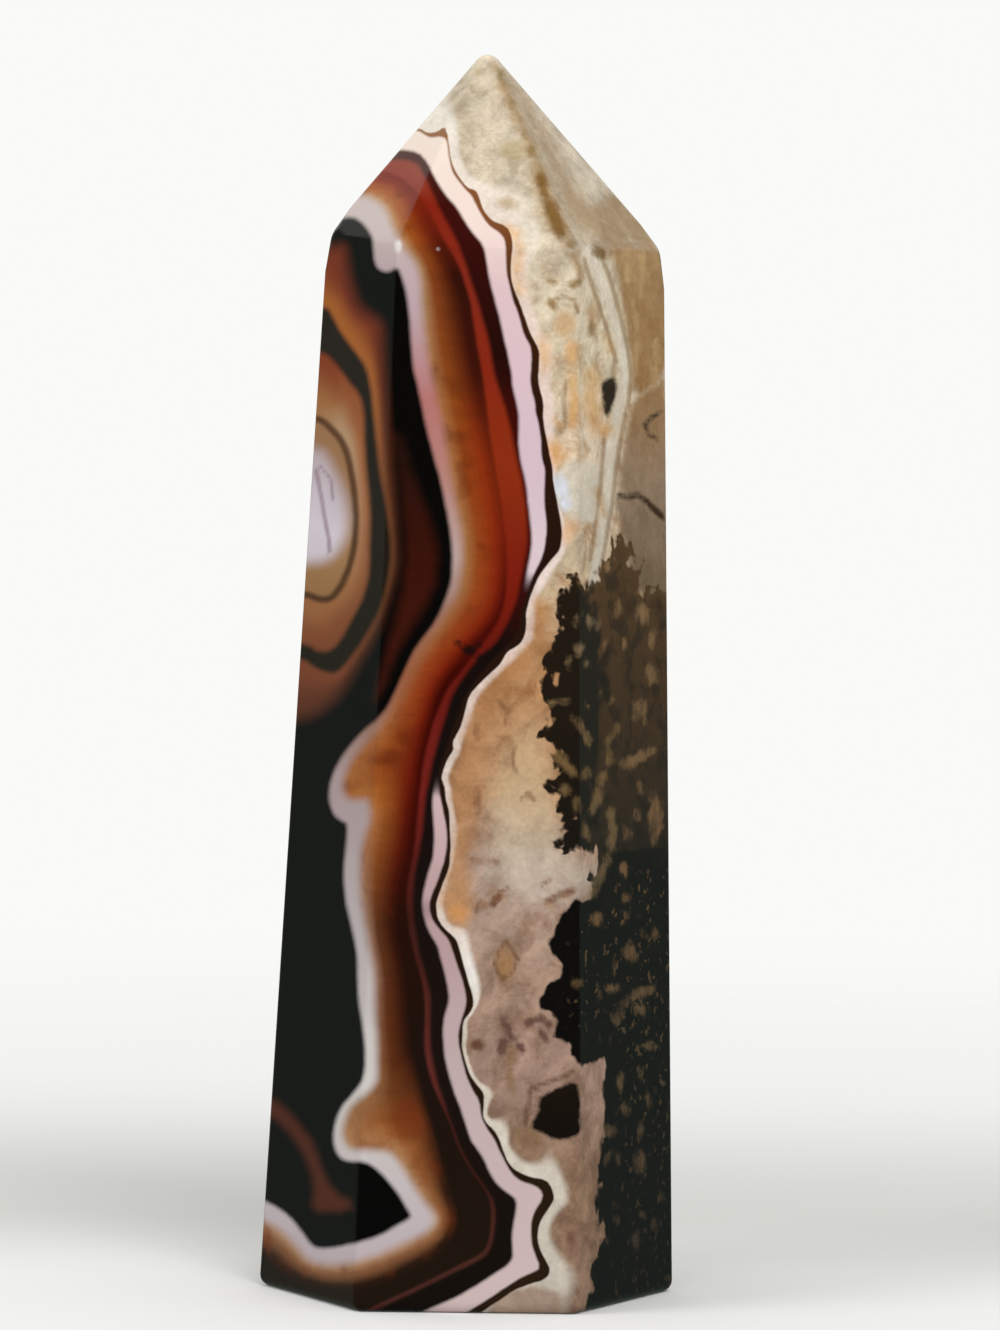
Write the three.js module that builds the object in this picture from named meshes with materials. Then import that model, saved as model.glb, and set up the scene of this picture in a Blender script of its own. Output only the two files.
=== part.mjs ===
// A banded agate tower: one polished stone, a tapering six-sided column that ends in a six-sided point.
// It stands on a flat lapped foot and leans a little to one side, as hand-cut towers do.
// Every facet is a true plane. Each corner of the stone is softened by a ball that touches the facets round it
// from inside, and the stone is the tightest skin round those balls, so its edges are softened too.
// Millimetres, +Z up, the front facet faces -Y, and the origin is the middle of the foot.

import * as THREE from "three";
import { ConvexGeometry } from "three/addons/geometries/ConvexGeometry.js";

// Driving dimensions
const TIP = new THREE.Vector3(0.5, 0, 100.6); // where the six point facets would meet if they were sharp
const SHOULDER_LEVEL = 84.5; // the height at which a side's "high" distance is measured
const EDGE_RADIUS = 0.5; // of the crisp cut edges
const FOOT_RADIUS = 0.9; // round the foot
const TIP_RADIUS = 1; // of the blunted tip
const WORN_RADIUS = 2.2; // of the two outer shoulder corners, which are worn rounder
const WORN_REACH = 3; // how far along the edges from such a corner the wear runs
const TIP_REACH = 4; // how far below the tip the blunting runs
const BALL_DETAIL = 5; // how finely the softening balls are divided

// The six sides of the column, anticlockwise from above. Each is a plane: the way it faces in degrees from +X,
// and its distance from the upright line through the origin at the foot and at SHOULDER_LEVEL.
// "corner" is the height of the shoulder corner on the side's clockwise edge, and "worn" says it is worn round.
const SIDES = [
  { name: "front", facing: 270, low: 14.42, high: 11.63, corner: 84.7, worn: false },
  { name: "front right", facing: 330.4, low: 14.9, high: 12.52, corner: 84.45, worn: false },
  { name: "back right", facing: 29.7, low: 14.45, high: 13.58, corner: 84.2, worn: true },
  { name: "back", facing: 90, low: 14.42, high: 11.65, corner: 84.6, worn: false },
  { name: "back left", facing: 149.8, low: 14.68, high: 10.06, corner: 84.6, worn: false },
  { name: "front left", facing: 209.1, low: 14.66, high: 11.22, corner: 85.3, worn: true },
];

const SLIVER = 1e-6;
const UP = new THREE.Vector3(0, 0, 1);

// The plane of one side of the column.
function sidePlane(side) {
  const angle = THREE.MathUtils.degToRad(side.facing);
  const leanIn = (side.low - side.high) / SHOULDER_LEVEL;
  const outward = new THREE.Vector3(Math.cos(angle), Math.sin(angle), leanIn);
  const size = outward.length();
  return new THREE.Plane(outward.divideScalar(size), -side.low / size);
}

// The point where three planes meet, or null if two of them are nearly parallel.
function meetingPoint(a, b, c) {
  const bc = new THREE.Vector3().crossVectors(b.normal, c.normal);
  const ca = new THREE.Vector3().crossVectors(c.normal, a.normal);
  const ab = new THREE.Vector3().crossVectors(a.normal, b.normal);
  const spread = a.normal.dot(bc);
  if (Math.abs(spread) < SLIVER) return null;
  return bc
    .multiplyScalar(-a.constant)
    .addScaledVector(ca, -b.constant)
    .addScaledVector(ab, -c.constant)
    .divideScalar(spread);
}

// The shoulder corner on the clockwise edge of each side.
function shoulderCorners(sides) {
  return sides.map((plane, i) => {
    const before = sides[(i + sides.length - 1) % sides.length];
    return meetingPoint(before, plane, new THREE.Plane(UP, -SIDES[i].corner));
  });
}

// The planes of the point's facets: each goes through the ends of a shoulder edge and the tip.
function pointPlanes(corners) {
  return corners.map((start, i) => {
    const end = corners[(i + 1) % corners.length];
    return new THREE.Plane().setFromCoplanarPoints(start, end, TIP);
  });
}

// Where a ball of this radius can sit so that it touches three facets or more and goes through none.
function ballSeats(planes, radius) {
  const moved = planes.map((plane) => new THREE.Plane(plane.normal, plane.constant + radius));
  const seats = [];
  for (let i = 0; i < moved.length; i++)
    for (let j = i + 1; j < moved.length; j++)
      for (let k = j + 1; k < moved.length; k++) {
        const seat = meetingPoint(moved[i], moved[j], moved[k]);
        if (!seat) continue;
        const inside = moved.every((plane) => plane.distanceToPoint(seat) < SLIVER);
        if (inside && !seats.some((known) => known.distanceTo(seat) < SLIVER)) seats.push(seat);
      }
  return seats;
}

// Where a ball can sit on the edge of facets a and b, at a distance from one of its corners.
function edgeSeat(planes, a, b, corner, distance, radius) {
  const along = new THREE.Vector3().crossVectors(a.normal, b.normal).normalize();
  const depth = radius / (1 + a.normal.dot(b.normal));
  for (const step of [distance, -distance]) {
    const seat = corner.clone().addScaledVector(along, step);
    seat.addScaledVector(a.normal, -depth).addScaledVector(b.normal, -depth);
    if (planes.every((plane) => plane.distanceToPoint(seat) < SLIVER - radius)) return seat;
  }
  return null;
}

// The balls that soften the stone: their centres and radii.
function softeningBalls(planes, wornCorners) {
  const isWorn = (point) => wornCorners.some((corner) => corner.distanceTo(point) < 2 * WORN_RADIUS);
  const isTip = (point) => TIP.distanceTo(point) < TIP_REACH;
  const isFoot = (point) => point.z < 2 * FOOT_RADIUS;
  const zones = [
    { radius: WORN_RADIUS, holds: isWorn },
    { radius: TIP_RADIUS, holds: isTip },
    { radius: FOOT_RADIUS, holds: isFoot },
    { radius: EDGE_RADIUS, holds: (point) => !isWorn(point) && !isTip(point) && !isFoot(point) },
  ];
  const balls = zones.flatMap(({ radius, holds }) =>
    ballSeats(planes, radius)
      .filter(holds)
      .map((centre) => ({ centre, radius })),
  );
  for (const corner of wornCorners) {
    const round = planes.filter((plane) => Math.abs(plane.distanceToPoint(corner)) < SLIVER);
    for (const [i, a] of round.entries())
      for (const b of round.slice(i + 1)) {
        const centre = edgeSeat(planes, a, b, corner, WORN_REACH, EDGE_RADIUS);
        if (centre) balls.push({ centre, radius: EDGE_RADIUS });
      }
  }
  return balls;
}

// Points all over a ball of radius 1, with one where it touches each facet.
function ballSkin(planes) {
  const sphere = new THREE.IcosahedronGeometry(1, BALL_DETAIL).getAttribute("position");
  const spread = Array.from({ length: sphere.count }, (_, i) =>
    new THREE.Vector3().fromBufferAttribute(sphere, i),
  );
  return [...planes.map((plane) => plane.normal), ...spread];
}

function towerGeometry() {
  const sides = SIDES.map(sidePlane);
  const corners = shoulderCorners(sides);
  const foot = new THREE.Plane(UP.clone().negate(), 0);
  const planes = [...sides, ...pointPlanes(corners), foot];
  const wornCorners = corners.filter((_, i) => SIDES[i].worn);
  const skin = ballSkin(planes);
  const points = softeningBalls(planes, wornCorners).flatMap(({ centre, radius }) =>
    skin.map((way) => centre.clone().addScaledVector(way, radius)),
  );
  return new ConvexGeometry(points);
}

const polishedAgate = new THREE.MeshStandardMaterial({
  color: 0x6e4530,
  roughness: 0.12,
  metalness: 0,
});

const agateTower = new THREE.Group();
const stone = new THREE.Mesh(towerGeometry(), polishedAgate);
stone.name = "agate_tower";
agateTower.add(stone);

export default agateTower;
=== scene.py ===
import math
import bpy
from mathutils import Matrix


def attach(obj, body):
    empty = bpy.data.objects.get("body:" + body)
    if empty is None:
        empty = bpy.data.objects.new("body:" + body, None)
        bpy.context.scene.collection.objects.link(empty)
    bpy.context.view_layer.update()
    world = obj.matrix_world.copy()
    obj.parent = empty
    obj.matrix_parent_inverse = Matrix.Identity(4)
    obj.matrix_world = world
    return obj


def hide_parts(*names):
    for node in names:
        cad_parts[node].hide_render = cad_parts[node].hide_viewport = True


bl_info = {
    "name": "Banded Agate Tower",
    "version": (1, 0, 0),
    "blender": (4, 5, 0),
    "location": "View3D > Sidebar > Agate Tower",
    "description": "A polished six-sided tower of banded agate on a pale studio floor",
    "category": "Add Mesh",
}

from itertools import combinations

import bmesh
import bpy
import numpy as np
from bpy.props import FloatProperty, FloatVectorProperty, PointerProperty
from bpy.types import Operator, Panel, PropertyGroup
from mathutils import Matrix, Vector

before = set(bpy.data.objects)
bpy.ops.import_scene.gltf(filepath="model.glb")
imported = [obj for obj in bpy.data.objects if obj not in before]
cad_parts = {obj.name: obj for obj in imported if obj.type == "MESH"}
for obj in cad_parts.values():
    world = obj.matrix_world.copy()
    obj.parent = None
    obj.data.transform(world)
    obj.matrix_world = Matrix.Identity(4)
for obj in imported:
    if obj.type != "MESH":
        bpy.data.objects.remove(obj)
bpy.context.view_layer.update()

NODE = "agate_tower"
MM = 0.001
FACETS = 13  # six sides, six facets of the point and the foot
SLIVER = 1e-4  # anything smaller is nothing
SAME_FACET = 1.0  # degrees: the solid's triangles that face within this of each other are one facet
TOUCH = 0.01  # mm between a corner and the facets that meet there
SHOULDER_SHARES = (0.7, 0.9)  # the shoulder's corners lie between these shares of the height
TIP_REACH = 4.0  # the blunting runs this many radii down from the tip

# How the stone's net is cut
BALL_DETAIL = 4  # how finely the softening balls are divided
JOIN_ANGLE = 0.2  # degrees: flatter edges between the skin's faces are dissolved
SIDE_LEAN = 0.3  # a side's normal rises less than this, and those of the point's facets rise more
SIDE_MATCH = 0.55  # faces are cut along with a side where the cosine between the normals is above this
FRONT_SIDE = -0.1  # the normals of the front's sides have a y below this
FOOT_SPACING = 3  # how much coarser the foot's net is

# The camera, in millimetres and degrees, fitted to the corners that the photograph shows
EYE = (0.0, -644.5, 93.72)
AIM = (2.15, 0.0, 50.72)
ROLL = 0.725
PHOTO_SIZE = (1000, 1330)
FOCAL_PIXELS = 7995.5
SENSOR = 36.0
PIXELS_PER_MM = 12.4  # at the stone's middle

# The bands on the hidden back follow the front's, moved a little, and the small patches shrink away there, in mm
BACK_BLEND = 7.0  # how far behind the side edges this comes in
BACK_FADE = 8.0  # how much shallower the patches get

# The waves that move the bands there: how far, how many mm up and across for each radian, and where they start
ACROSS_WIDE = (3.0, 13.0, math.inf, 0.6)
ACROSS_NARROW = (1.3, 4.7, 6.0, 0.0)
UPWARDS = (7.0, 30.0, 7.0, 0.8)

# The lines that part the bands, in the photograph's pixels, traced from the top to the foot
CONTACT = [
    (380, 122), (420, 128), (427, 133), (438, 132), (443, 126), (447, 130), (449, 145), (451, 160), (455, 170),
    (461, 180), (468, 188), (476, 190), (479, 196), (482, 207), (487, 215), (494, 222), (503, 224), (509, 229),
    (512, 238), (513, 246), (511, 262), (511, 277), (514, 290), (519, 300), (524, 315), (529, 330), (535, 342),
    (540, 352), (539, 365), (538, 380), (541, 392), (544, 405), (543, 418), (545, 430), (547, 440), (550, 455),
    (553, 468), (553, 480), (557, 500), (560, 515), (562, 530), (562, 540), (560, 550), (553, 558), (545, 568),
    (540, 575), (535, 585), (531, 595), (528, 605), (526, 615), (527, 625), (525, 635), (522, 642), (515, 648),
    (507, 652), (503, 660), (498, 667), (490, 674), (478, 685), (472, 692), (468, 700), (465, 712), (462, 725),
    (457, 735), (453, 742), (454, 750), (448, 758), (445, 765), (441, 780), (445, 785), (446, 800), (449, 808),
    (450, 818), (450, 830), (451, 845), (450, 858), (449, 870), (443, 883), (439, 895), (436, 905), (438, 920),
    (446, 930), (456, 938), (460, 950), (464, 965), (468, 980), (473, 995), (474, 1005), (470, 1013), (463, 1022),
    (463, 1035), (462, 1045), (465, 1060), (470, 1075), (477, 1085), (484, 1092), (484, 1105), (483, 1115),
    (487, 1124), (495, 1130), (500, 1140), (503, 1150), (508, 1162), (515, 1170), (530, 1177), (545, 1179),
    (551, 1185), (555, 1198), (550, 1207), (541, 1220), (537, 1235), (540, 1250), (547, 1262), (551, 1272),
    (545, 1280), (530, 1284), (515, 1290), (500, 1300), (485, 1310), (470, 1320), (440, 1345),
]
PINK_RIGHT = [
    (380, 132), (417, 131), (425, 136), (432, 139), (441, 137), (446, 140), (447, 150), (450, 168), (455, 178),
    (465, 190), (471, 196), (475, 205), (482, 218), (490, 228), (500, 234), (504, 240), (505, 248), (505, 262),
    (506, 275), (509, 288), (512, 300), (517, 312), (520, 325), (524, 337), (529, 345), (531, 355), (530, 368),
    (529, 380), (531, 392), (534, 402), (535, 415), (538, 425), (540, 440), (540, 450), (541, 460), (544, 468),
    (544, 480), (543, 495), (544, 510), (546, 525), (545, 540), (542, 555), (537, 566), (531, 578), (527, 590),
    (524, 601), (520, 616), (517, 632), (507, 645), (495, 655), (486, 667), (474, 680), (464, 695), (458, 712),
    (452, 728), (445, 748), (438, 768), (438, 785), (439, 795), (441, 805), (444, 820), (446, 832), (446, 845),
    (444, 858), (441, 868), (437, 880), (431, 893), (428, 905), (430, 918), (437, 928), (448, 940), (453, 955),
    (458, 970), (463, 985), (466, 1000), (463, 1012), (459, 1025), (457, 1038), (460, 1055), (465, 1075),
    (471, 1090), (478, 1100), (480, 1115), (485, 1128), (493, 1138), (498, 1150), (503, 1160), (510, 1173),
    (520, 1182), (535, 1186), (542, 1192), (541, 1200), (535, 1208), (531, 1217), (530, 1232), (531, 1245),
    (535, 1258), (540, 1268), (530, 1272), (515, 1280), (500, 1290), (480, 1303), (455, 1318), (425, 1345),
]
PINK_LEFT = [
    (380, 150), (400, 150), (418, 152), (428, 163), (434, 178), (446, 196), (457, 208), (466, 224), (475, 236),
    (483, 245), (486, 260), (489, 278), (493, 295), (497, 308), (501, 325), (504, 340), (508, 355), (511, 372),
    (513, 390), (517, 405), (519, 420), (518, 440), (520, 460), (524, 475), (527, 490), (528, 505), (530, 520),
    (532, 540), (530, 555), (527, 570), (525, 582), (523, 592), (521, 604), (517, 618), (513, 634), (503, 647),
    (491, 658), (482, 670), (470, 683), (460, 698), (454, 714), (448, 730), (441, 750), (435, 770), (434, 788),
    (432, 800), (433, 815), (434, 830), (434, 845), (433, 856), (430, 866), (426, 880), (423, 893), (422, 905),
    (424, 920), (430, 934), (437, 945), (441, 960), (445, 975), (448, 990), (449, 1000), (446, 1010),
    (443, 1022), (443, 1045), (445, 1060), (450, 1080), (455, 1095), (461, 1110), (466, 1125), (470, 1140),
    (478, 1150), (484, 1160), (490, 1174), (499, 1187), (510, 1195), (517, 1200), (515, 1215), (512, 1230),
    (512, 1245), (513, 1257), (508, 1265), (495, 1273), (480, 1283), (465, 1292), (450, 1300), (430, 1308),
    (410, 1318), (380, 1345),
]
RED_RIGHT = [
    (370, 160), (388, 159), (400, 158), (413, 160), (420, 165), (428, 180), (437, 200), (447, 220), (458, 240),
    (466, 260), (472, 280), (479, 300), (484, 320), (490, 340), (493, 360), (497, 380), (504, 400), (510, 420),
    (514, 440), (518, 460), (523, 480), (526, 500), (528, 520), (529, 540), (526, 560), (522, 580), (518, 600),
    (512, 615), (505, 630), (496, 645), (482, 655), (466, 675), (455, 692), (450, 705), (446, 720), (441, 735),
    (437, 750), (433, 765), (430, 780), (427, 795), (425, 812), (424, 830), (421, 848), (418, 862), (415, 880),
    (414, 900), (415, 920), (418, 940), (422, 960), (428, 980), (432, 1000), (431, 1020), (431, 1040),
    (433, 1060), (438, 1080), (444, 1100), (449, 1115), (455, 1130), (460, 1145), (466, 1158), (475, 1172),
    (485, 1186), (493, 1198), (496, 1210), (495, 1230), (492, 1248), (484, 1258), (470, 1266), (450, 1275),
    (430, 1285), (410, 1295), (385, 1306), (350, 1325), (320, 1345),
]
RED_LEFT = [
    (360, 172), (378, 172), (390, 174), (402, 179), (411, 187), (418, 195), (426, 207), (433, 220), (440, 235),
    (448, 248), (456, 262), (463, 280), (469, 300), (472, 320), (475, 340), (479, 360), (482, 380), (485, 400),
    (487, 420), (490, 440), (493, 460), (496, 480), (500, 500), (502, 520), (505, 540), (506, 560), (506, 580),
    (504, 600), (500, 615), (493, 629), (481, 644), (469, 659), (457, 675), (447, 688), (441, 700), (435, 715),
    (430, 730), (426, 745), (423, 760), (420, 780), (418, 800), (416, 820), (414, 845), (411, 862), (407, 880),
    (405, 900), (407, 920), (410, 940), (415, 960), (421, 980), (424, 1000), (424, 1020), (423, 1040),
    (425, 1060), (430, 1080), (436, 1095), (443, 1110), (450, 1125), (455, 1140), (461, 1155), (470, 1170),
    (480, 1184), (488, 1196), (491, 1208), (490, 1230), (487, 1246), (480, 1254), (466, 1261), (448, 1270),
    (428, 1280), (408, 1290), (383, 1301), (345, 1320), (310, 1345),
]
AMBER_RIGHT = [
    (360, 178), (374, 177), (388, 179), (400, 184), (408, 193), (414, 205), (421, 219), (429, 234), (436, 247),
    (443, 261), (450, 280), (457, 300), (460, 320), (463, 340), (466, 360), (470, 380), (474, 400), (478, 420),
    (483, 440), (487, 460), (491, 480), (495, 500), (498, 520), (500, 540), (501, 560), (501, 580), (498, 600),
    (493, 613), (484, 627), (471, 641), (459, 655), (447, 671), (438, 687), (432, 700), (428, 716), (423, 731),
    (419, 748), (416, 764), (414, 780), (411, 800), (408, 820), (405, 845), (402, 862), (397, 880), (395, 900),
    (393, 920), (395, 940), (399, 960), (402, 980), (404, 1000), (405, 1020), (407, 1040), (411, 1060),
    (416, 1080), (421, 1100), (427, 1120), (433, 1140), (438, 1160), (444, 1180), (450, 1200), (455, 1216),
    (452, 1232), (443, 1246), (428, 1258), (405, 1270), (383, 1281), (358, 1288), (330, 1289), (305, 1282),
    (285, 1270), (268, 1256), (240, 1240),
]
HALO_IN = [
    (300, 190), (362, 193), (383, 203), (390, 217), (395, 231), (401, 242), (409, 254), (417, 263), (421, 280),
    (422, 300), (424, 320), (426, 340), (429, 360), (433, 380), (438, 400), (443, 420), (446, 440), (449, 460),
    (452, 480), (456, 500), (460, 520), (463, 540), (463, 560), (461, 580), (458, 595), (449, 610), (440, 624),
    (430, 638), (420, 652), (411, 668), (404, 684), (396, 700), (391, 712), (384, 725), (372, 738), (361, 750),
    (352, 762), (346, 775), (343, 787), (348, 798), (358, 799), (367, 798), (371, 808), (371, 820), (366, 835),
    (362, 850), (361, 870), (361, 890), (363, 910), (366, 930), (369, 945), (372, 960), (375, 975), (375, 1000),
    (376, 1020), (378, 1040), (378, 1065), (378, 1080), (372, 1090), (362, 1098), (352, 1106), (346, 1118),
    (343, 1130), (345, 1142), (352, 1149), (370, 1149), (390, 1151), (400, 1162), (412, 1182), (422, 1198),
    (430, 1208), (436, 1217), (434, 1226), (425, 1234), (410, 1241), (395, 1248), (375, 1257), (350, 1264),
    (325, 1266), (308, 1261), (297, 1248), (283, 1233), (272, 1225), (240, 1212),
]
HALO_OUT = [
    (300, 222), (338, 220), (350, 217), (360, 221), (367, 229), (372, 238), (373, 250), (374, 262), (378, 270),
    (388, 273), (397, 268), (401, 275), (405, 290), (408, 305), (410, 330), (411, 350), (413, 370), (417, 385),
    (420, 400), (424, 420), (429, 440), (434, 460), (440, 480), (444, 500), (448, 520), (451, 540), (452, 560),
    (451, 580), (445, 600), (436, 620), (421, 640), (412, 652), (405, 668), (400, 680), (393, 695), (387, 707),
    (378, 718), (365, 728), (352, 742), (342, 755), (335, 768), (330, 780), (328, 795), (330, 808), (335, 817),
    (342, 822), (347, 824), (346, 840), (344, 860), (343, 880), (345, 900), (348, 915), (352, 930), (355, 945),
    (357, 960), (357, 980), (358, 1000), (361, 1020), (364, 1042), (365, 1062), (363, 1079), (353, 1093),
    (342, 1105), (335, 1120), (332, 1138), (336, 1154), (345, 1162), (365, 1162), (380, 1172), (392, 1187),
    (400, 1197), (405, 1207), (411, 1215), (408, 1219), (395, 1226), (380, 1235), (365, 1240), (345, 1245),
    (325, 1248), (315, 1247), (308, 1240), (300, 1228), (290, 1216), (278, 1207), (266, 1201), (240, 1188),
]

# The rings of the eye on the left side, from its core outwards
EYE_RINGS = {
    "eye_core": [
        (240, 448), (318, 452), (325, 462), (333, 478), (338, 490), (342, 505), (343, 520), (341, 535), (336, 546),
        (330, 553), (322, 557), (310, 559), (240, 562),
    ],
    "eye_line": [
        (240, 405), (318, 417), (330, 427), (340, 438), (347, 452), (350, 466), (353, 482), (355, 500), (356, 520),
        (355, 540), (352, 558), (347, 573), (341, 586), (333, 597), (325, 600), (315, 598), (307, 594), (240, 588),
    ],
    "eye_tan": [
        (240, 340), (322, 350), (330, 355), (340, 366), (350, 380), (360, 392), (364, 402), (366, 418), (366, 440),
        (367, 460), (369, 480), (371, 500), (372, 520), (371, 545), (371, 560), (370, 578), (366, 594), (359, 610),
        (351, 624), (344, 638), (335, 650), (325, 654), (315, 652), (308, 646), (240, 630),
    ],
    "eye_dark": [
        (240, 290), (326, 306), (332, 315), (338, 328), (346, 340), (355, 352), (363, 362), (367, 372), (370, 385),
        (372, 400), (374, 420), (376, 440), (378, 460), (381, 480), (385, 500), (388, 520), (391, 540), (391, 560),
        (388, 580), (383, 600), (375, 620), (363, 640), (352, 656), (342, 668), (335, 673), (325, 672), (314, 667),
        (304, 658), (240, 650),
    ],
    "eye_brown": [
        (240, 236), (333, 240), (345, 238), (352, 246), (354, 262), (356, 276), (360, 290), (364, 302), (374, 309),
        (384, 316), (389, 328), (389, 345), (391, 380), (393, 420), (395, 450), (397, 480), (400, 510), (402, 540),
        (402, 565), (398, 585), (392, 605), (386, 625), (377, 645), (364, 668), (352, 690), (338, 708), (318, 722),
        (300, 727), (240, 735),
    ],
}
EYE_VEINS = [
    (4, [(316, 470), (321, 495), (325, 520), (329, 540), (330, 560), (331, 577)]),
    (3, [(320, 465), (331, 480), (333, 500)]),
]

# The right edge of the white rim that lines the contact
RIM = [
    (455, 90), (462, 130), (463, 160), (475, 176), (490, 181), (515, 181), (530, 190), (535, 205), (541, 220),
    (546, 240), (542, 255), (533, 265), (531, 280), (533, 295), (538, 310), (545, 330), (556, 345), (558, 360),
    (554, 380), (557, 395), (558, 410), (558, 425), (556, 436), (554, 446), (557, 465), (556, 500), (565, 520),
    (570, 540), (566, 555), (553, 577), (544, 592), (537, 602), (539, 622), (535, 642), (524, 655), (504, 673),
    (492, 685), (482, 696), (477, 707), (474, 719), (470, 731), (464, 743), (463, 755), (455, 765), (450, 778),
    (454, 790), (455, 805), (458, 820), (460, 838), (456, 855), (452, 872), (449, 885), (445, 910), (452, 924),
    (470, 925), (472, 940), (476, 955), (480, 970), (483, 985), (482, 1000), (475, 1012), (468, 1022),
    (470, 1035), (466, 1048), (472, 1065), (478, 1080), (490, 1085), (498, 1095), (490, 1105), (488, 1118),
    (500, 1115), (510, 1120), (513, 1135), (510, 1145), (520, 1155), (535, 1160), (545, 1150), (550, 1140),
    (555, 1150), (563, 1163), (570, 1183), (574, 1198), (571, 1206), (562, 1213), (556, 1220), (553, 1230),
    (556, 1240), (562, 1250), (572, 1260), (580, 1268), (583, 1280), (580, 1295), (577, 1308), (575, 1345),
]

# The brown moss-like growth and the black chalcedony on the right side
MOSS = [
    (617, 530), (612, 545), (603, 560), (598, 575), (593, 590), (587, 580), (570, 580), (567, 595), (558, 602),
    (560, 618), (558, 635), (552, 650), (549, 668), (552, 685), (545, 700), (550, 712), (547, 730), (552, 745),
    (556, 765), (552, 780), (556, 800), (562, 815), (570, 820), (563, 840), (562, 848), (576, 850), (590, 852),
    (598, 862), (592, 880), (590, 900), (600, 930), (640, 960), (720, 960), (720, 600), (645, 590), (640, 580),
    (635, 565), (628, 555), (622, 545),
]
DEEP = [
    (606, 850), (603, 870), (592, 890), (586, 900), (575, 900), (570, 905), (560, 915), (555, 925), (553, 935),
    (548, 940), (552, 948), (555, 955), (560, 965), (558, 975), (550, 985), (540, 1000), (542, 1008), (550, 1012),
    (556, 1020), (553, 1030), (552, 1040), (562, 1042), (570, 1045), (572, 1055), (577, 1060), (583, 1068),
    (590, 1063), (597, 1055), (604, 1058), (606, 1065), (603, 1080), (603, 1100), (601, 1140), (598, 1165),
    (600, 1185), (598, 1200), (602, 1235), (598, 1255), (592, 1270), (590, 1290), (585, 1306), (580, 1345),
    (760, 1345), (760, 850),
]
TOOTH = [
    (566, 574), (556, 600), (548, 640), (540, 690), (538, 740), (544, 800), (552, 850), (590, 856), (600, 800),
    (598, 740), (606, 700), (602, 650), (598, 610), (588, 585),
]

# Patches of each pigment, and two painted highlights: areas, lines with their widths, and spots as x, y, width,
# height
AREAS = {
    "ember": [
        [(388, 430), (402, 430), (418, 480), (436, 530), (440, 565), (434, 595), (414, 628), (398, 652), (384, 690),
         (372, 706), (378, 680), (384, 655), (392, 625), (402, 585), (404, 540), (396, 480)],
    ],
    "smudge": [
        [(492, 66), (508, 72), (520, 100), (540, 140), (556, 180), (570, 225), (598, 240), (640, 246), (668, 250),
         (662, 225), (640, 205), (618, 190), (596, 206), (580, 196), (560, 160), (545, 130), (528, 100)],
    ],
    "pale": [
        [(560, 462), (600, 462), (604, 500), (598, 522), (572, 522), (560, 500)],
    ],
    "tan": [
        [(500, 1291), (540, 1287), (562, 1293), (560, 1330), (480, 1330), (492, 1305)],
        [(515, 1130), (527, 1127), (541, 1132), (540, 1148), (528, 1153), (516, 1146)],
    ],
    "umber": [
        [(610, 240), (640, 246), (672, 250), (676, 330), (664, 380), (634, 400), (628, 350), (622, 300), (612, 262)],
        [(632, 402), (658, 380), (672, 380), (676, 640), (640, 600), (622, 545), (617, 500), (622, 440)],
    ],
    "ochre": [
        [(536, 600), (548, 604), (546, 640), (530, 664), (506, 690), (490, 720), (480, 755), (477, 800), (468, 850),
         (470, 880), (476, 898), (462, 924), (455, 926), (444, 912), (440, 895), (450, 850), (456, 820), (450, 790),
         (460, 755), (466, 728), (478, 696), (503, 668), (530, 640)],
    ],
    "flesh": [
        [(512, 740), (536, 716), (548, 760), (552, 800), (566, 845), (596, 870), (584, 892), (556, 905), (520, 905),
         (494, 880), (490, 830), (498, 780)],
    ],
    "apricot": [
        [(543, 440), (561, 441), (567, 455), (560, 470), (550, 468)],
        [(586, 366), (600, 364), (600, 432), (590, 436), (584, 400)],
    ],
    "pit": [
        [(540, 1098), (550, 1092), (565, 1085), (577, 1082), (580, 1095), (580, 1115), (582, 1130), (572, 1138),
         (555, 1140), (545, 1135), (530, 1127), (537, 1115)],
        [(607, 379), (616, 376), (617, 385), (614, 400), (611, 412), (607, 419), (603, 410), (602, 395),
         (603, 383)],
    ],
}
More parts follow.
